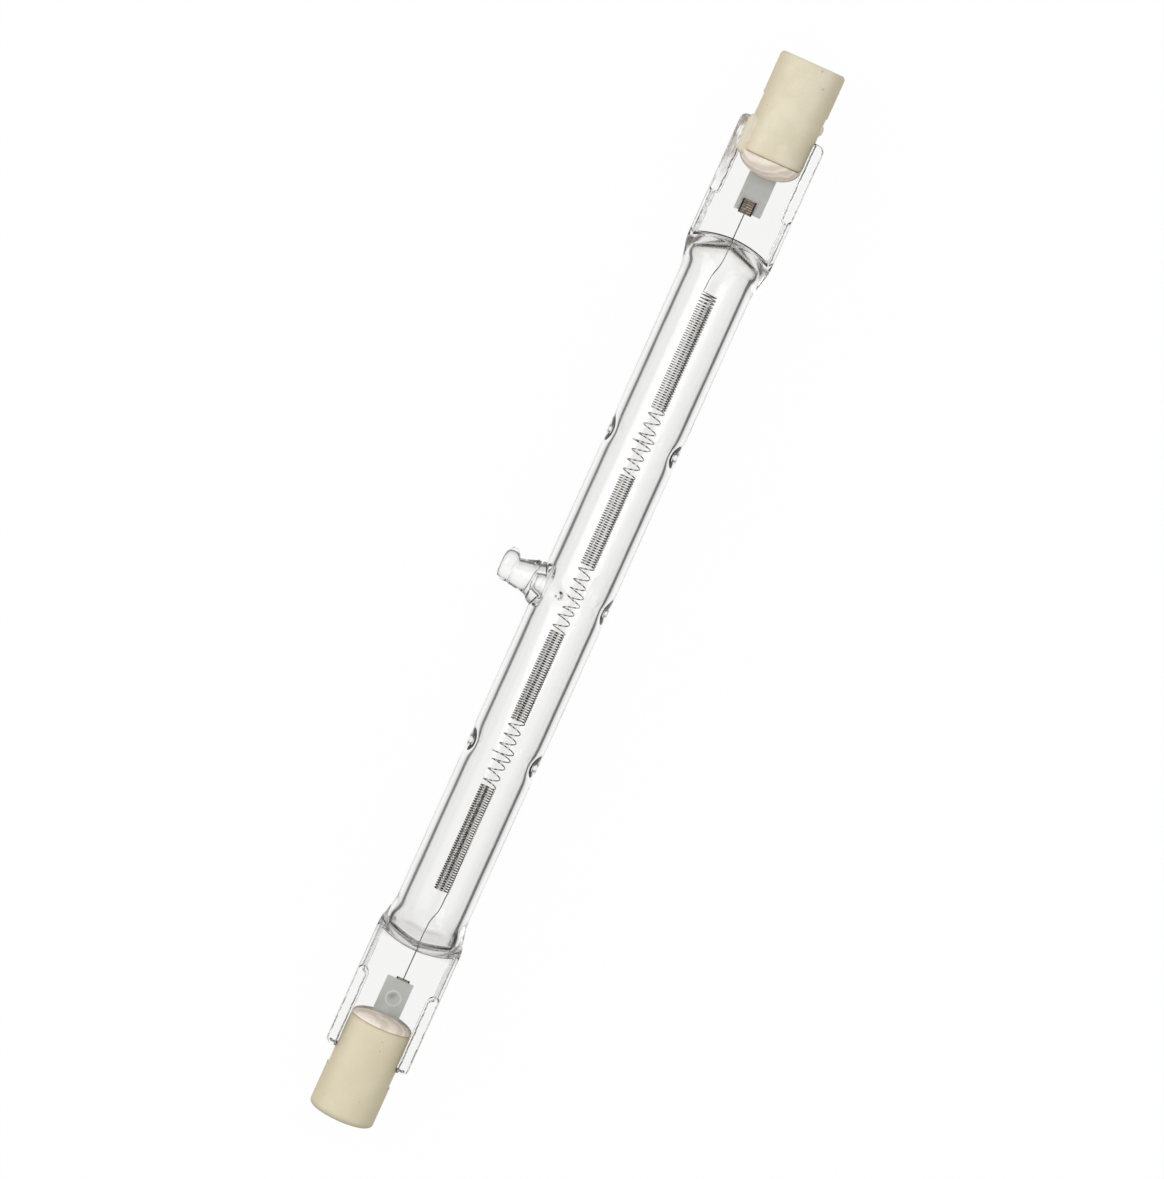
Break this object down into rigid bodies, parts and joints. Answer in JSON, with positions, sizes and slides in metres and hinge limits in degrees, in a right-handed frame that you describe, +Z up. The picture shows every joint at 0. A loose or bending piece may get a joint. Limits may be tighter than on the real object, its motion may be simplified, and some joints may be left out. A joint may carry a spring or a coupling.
{
  "type": "linear halogen bulb",
  "caption": "Double-ended linear halogen bulb: a quartz tube with a coiled filament, an exhaust tip and flat pinch seals, and a slotted ceramic cap at each end.",
  "frame": {"origin": "centre of the bounding box, on the floor that the tube and the exhaust tip rest on", "axes": "+X along the lamp towards its upper end in the picture, +Y to the side that the exhaust tip leans to, +Z up"},
  "size_m": [0.1176, 0.0128, 0.0078],
  "materials": {
    "quartz": "clear polished",
    "ceramic": "matte",
    "cement": "rough matte",
    "tungsten": "fine coil",
    "molybdenum": "satin",
    "contact_metal": "satin"
  },
  "bodies": {
    "root": {"quartz_envelope": "quartz", "filament": "tungsten", "ceramic_cap_lower": "ceramic", "cement_lower": "cement", "contact_button_lower": "contact_metal", "foil_lower": "molybdenum", "weld_tab_lower": "molybdenum", "outer_lead_lower": "molybdenum", "ceramic_cap_upper": "ceramic", "cement_upper": "cement", "contact_button_upper": "contact_metal", "foil_upper": "molybdenum", "weld_tab_upper": "molybdenum", "outer_lead_upper": "molybdenum"}
  },
  "joints": []
}
